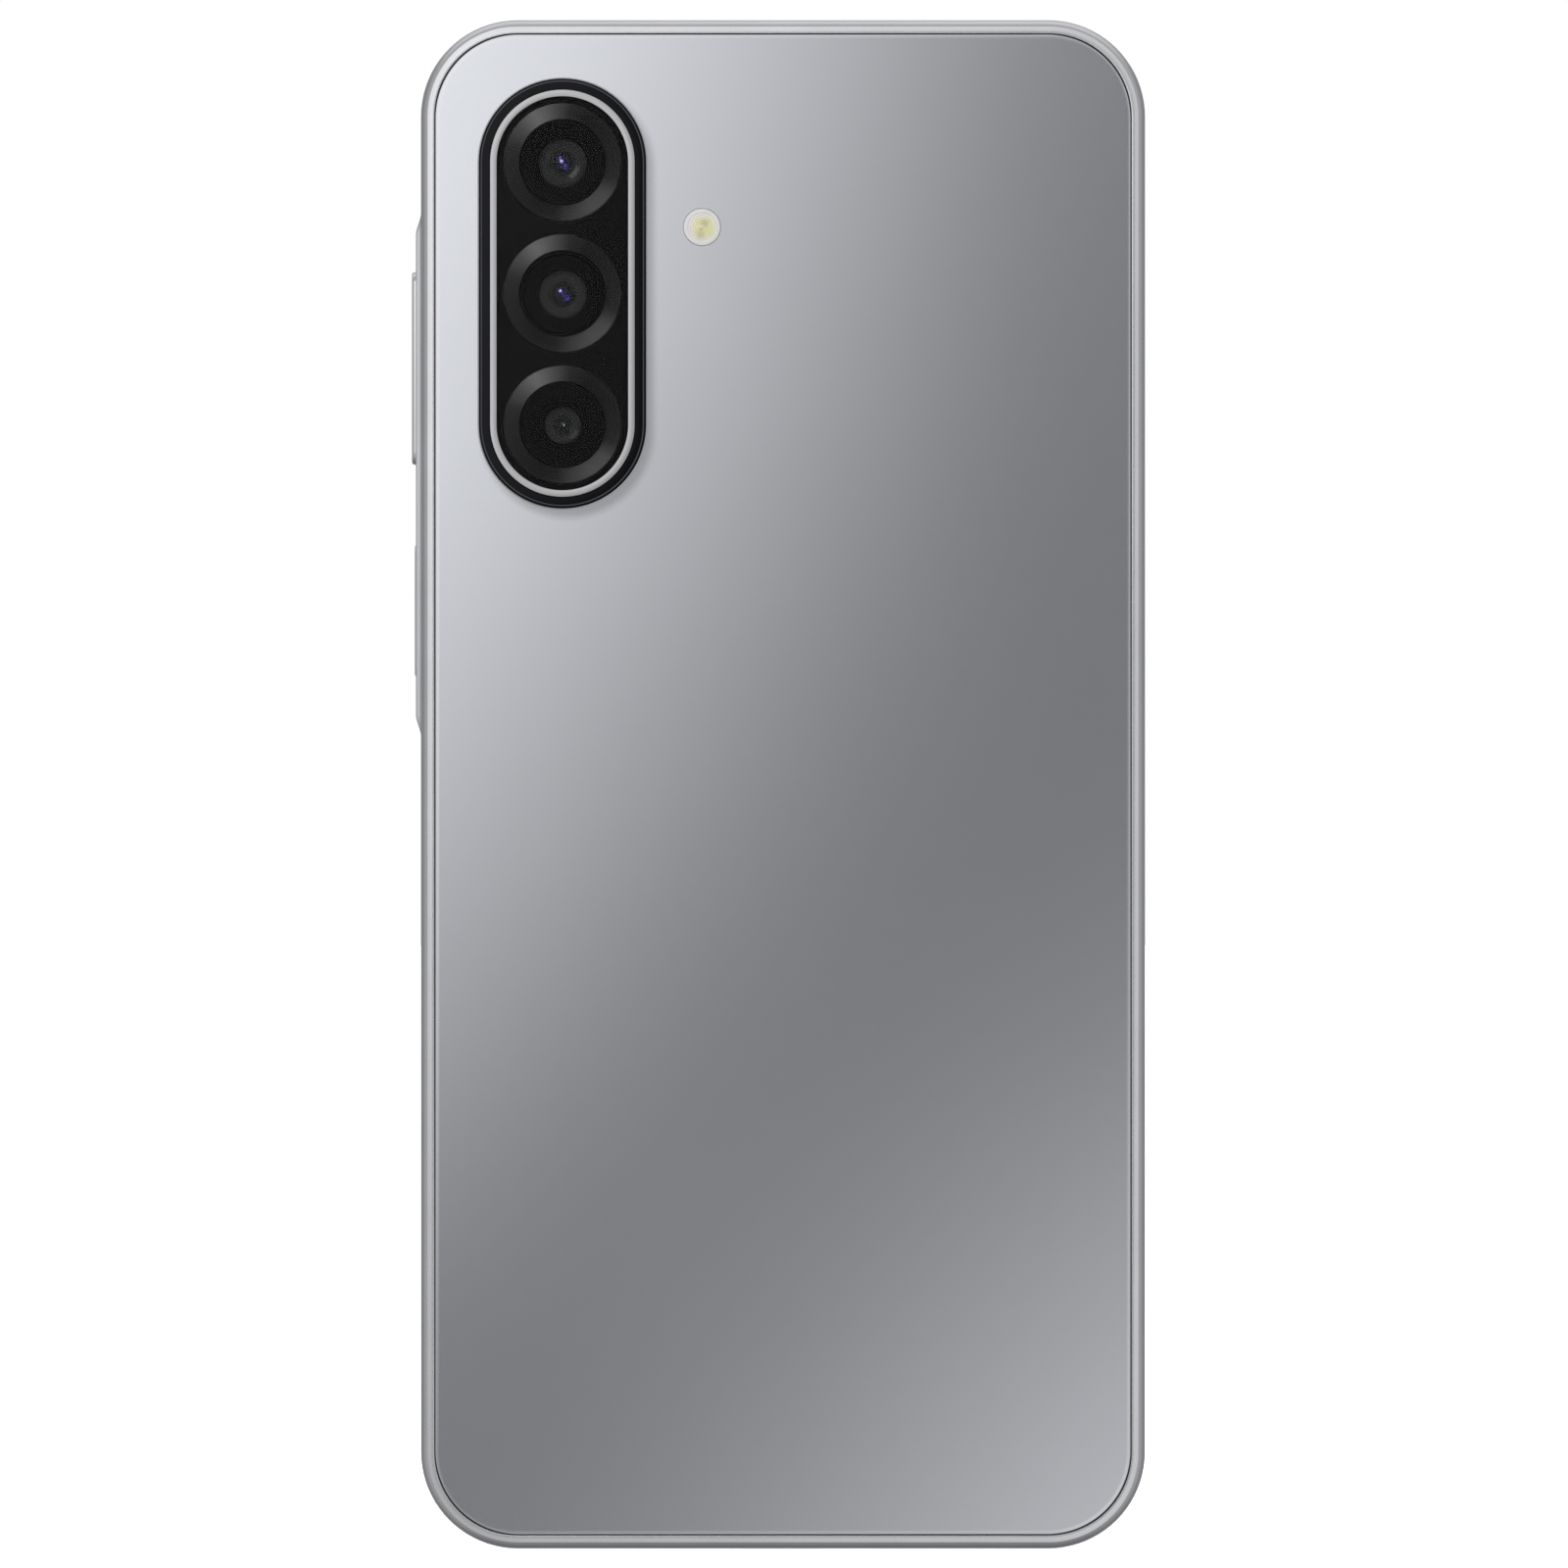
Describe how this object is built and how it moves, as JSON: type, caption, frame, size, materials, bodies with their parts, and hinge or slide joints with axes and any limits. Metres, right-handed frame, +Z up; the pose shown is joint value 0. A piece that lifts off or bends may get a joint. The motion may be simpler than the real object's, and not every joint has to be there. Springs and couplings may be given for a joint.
{
  "type": "smartphone",
  "caption": "Slab smartphone with a flat rear cover, pill-shaped camera island, raised side-key pad, slide-out card tray and the working parts inside.",
  "frame": {"origin": "middle of the flat bottom edge, on the surface that the phone stands on", "axes": "+Z up the length of the phone, -Y out of the rear cover and the cameras, +Y out of the screen, -X towards the volume and power keys"},
  "size_m": [0.0788, 0.0087, 0.1644],
  "materials": {
    "frame_metal": "fine satin anodised",
    "key_metal": "fine satin anodised",
    "tray_metal": "fine satin anodised",
    "plate_metal": "die cast, matt",
    "rear_panel": "satin grey glass with a reflective film behind it",
    "screen_glass": "gloss, black edge print",
    "adhesive": "foam tape",
    "bezel_black": "satin black",
    "polished_ring": "bright turned edge",
    "camera_glass": "gloss, clear over each lens",
    "black_mask": "deep black print",
    "spun_metal": "dark anodised, turned",
    "module_black": "matt black",
    "barrel_black": "matt black, stepped",
    "coated_lens": "anti-reflection coated",
    "flash_diffuser": "frosted, moulded rings",
    "flash_phosphor": "yellow phosphor on a white base",
    "sensor_cap": "satin lacquer",
    "flex_film": "polyimide film",
    "dome_steel": "thin spring steel",
    "sheet_steel": "stamped",
    "port_steel": "drawn, dull",
    "silicone": "matt",
    "display_stack": "black emitting panel with foil behind it",
    "housing_black": "glass-filled, matt",
    "mesh_black": "woven acoustic mesh",
    "board_laminate": "solder mask",
    "chip_epoxy": "moulded epoxy",
    "connector_black": "moulded",
    "cable_jacket": "smooth jacket",
    "battery_foil": "laminated pouch, matt wrap",
    "copper_coil": "etched copper on black film",
    "cone_film": "thin film",
    "rotor_metal": "sintered weight",
    "screw_steel": "zinc plated"
  },
  "bodies": {
    "housing": {"side_frame": "frame_metal", "mid_plate": "plate_metal", "rear_cover": "rear_panel", "rear_cover_adhesive": "adhesive", "camera_bezel": "bezel_black", "camera_trim_ring": "polished_ring", "camera_window": "camera_glass", "camera_mask": "black_mask", "lens_rings": "spun_metal", "ultrawide_camera": "module_black", "ultrawide_lens": "coated_lens", "main_camera": "module_black", "macro_camera": "module_black", "macro_lens": "coated_lens", "flash_lens": "flash_diffuser", "flash_led": "flash_phosphor", "side_key_flex": "flex_film", "volume_domes": "dome_steel", "power_dome": "dome_steel", "key_bracket": "sheet_steel", "sim_reader": "sheet_steel", "cover_glass": "screen_glass", "display_adhesive": "adhesive", "display_panel": "display_stack", "display_flex": "flex_film", "front_camera": "module_black", "front_camera_lens": "coated_lens", "earpiece": "housing_black", "earpiece_mesh": "mesh_black", "main_board": "board_laminate", "shield_cans": "sheet_steel", "board_chips": "chip_epoxy", "board_connectors": "connector_black", "microphones": "sheet_steel", "sub_board": "board_laminate", "usb_shell": "port_steel", "usb_tongue": "connector_black", "usb_seal": "silicone", "main_flex": "flex_film", "coax_cable": "cable_jacket", "battery": "battery_foil", "upper_cover": "housing_black", "lower_cover": "housing_black", "nfc_coil": "copper_coil", "speaker_box": "housing_black", "speaker_driver": "sheet_steel", "vibration_motor": "sheet_steel", "cover_screws": "screw_steel"},
    "volume_key": {"volume_key": "key_metal"},
    "power_key": {"power_key": "key_metal", "fingerprint_sensor": "sensor_cap"},
    "eject_rod": {"eject_rod": "sheet_steel"},
    "eject_lever": {"eject_lever": "sheet_steel"},
    "eject_slide": {"eject_slide": "sheet_steel"},
    "sim_tray": {"sim_tray": "tray_metal", "sim_tray_seal": "silicone"},
    "focus_lens": {"main_lens_barrel": "barrel_black", "main_lens": "coated_lens"},
    "motor_rotor": {"vibration_rotor": "rotor_metal"},
    "speaker_cone": {"speaker_diaphragm": "cone_film"}
  },
  "joints": [
    {"name": "volume_rock", "type": "hinge", "parent": "housing", "child": "volume_key", "pos_m": [-0.036, 0, 0.127], "axis": [0, -1, 0], "range_deg": [-1.3, 1.3], "stiffness_Nm_per_rad": 0.5, "deforming": ["volume_domes"]},
    {"name": "power_press", "type": "slide", "parent": "housing", "child": "power_key", "axis": [1, 0, 0], "range_m": [0, 0.0002], "stiffness_N_per_m": 6000, "deforming": ["power_dome"]},
    {"name": "eject_push", "type": "slide", "parent": "housing", "child": "eject_rod", "axis": [-1, 0, 0], "range_m": [0, 0.0013]},
    {"name": "eject_turn", "type": "hinge", "parent": "housing", "child": "eject_lever", "pos_m": [0.0086, 0.00045, 0.1348], "axis": [0, -1, 0], "range_deg": [0, 12.1]},
    {"name": "eject_lift", "type": "slide", "parent": "housing", "child": "eject_slide", "axis": [1, 0, 0], "range_m": [0, 0.00126]},
    {"name": "tray_pull", "type": "slide", "parent": "eject_slide", "child": "sim_tray", "axis": [1, 0, 0], "range_m": [0, 0.028]},
    {"name": "focus_move", "type": "slide", "parent": "housing", "child": "focus_lens", "axis": [0, -1, 0], "range_m": [0, 0.0003], "stiffness_N_per_m": 100},
    {"name": "motor_spin", "type": "hinge", "parent": "housing", "child": "motor_rotor", "pos_m": [-0.024, 0, 0.0116], "axis": [0, -1, 0], "continuous": true},
    {"name": "cone_move", "type": "slide", "parent": "housing", "child": "speaker_cone", "axis": [0, -1, 0], "range_m": [-0.00025, 0.00025], "stiffness_N_per_m": 800}
  ],
  "couplings": [
    {"joint": "eject_turn", "follows": "eject_push", "rad_per_m": 161.29},
    {"joint": "eject_lift", "follows": "eject_push", "ratio": 0.96774}
  ]
}
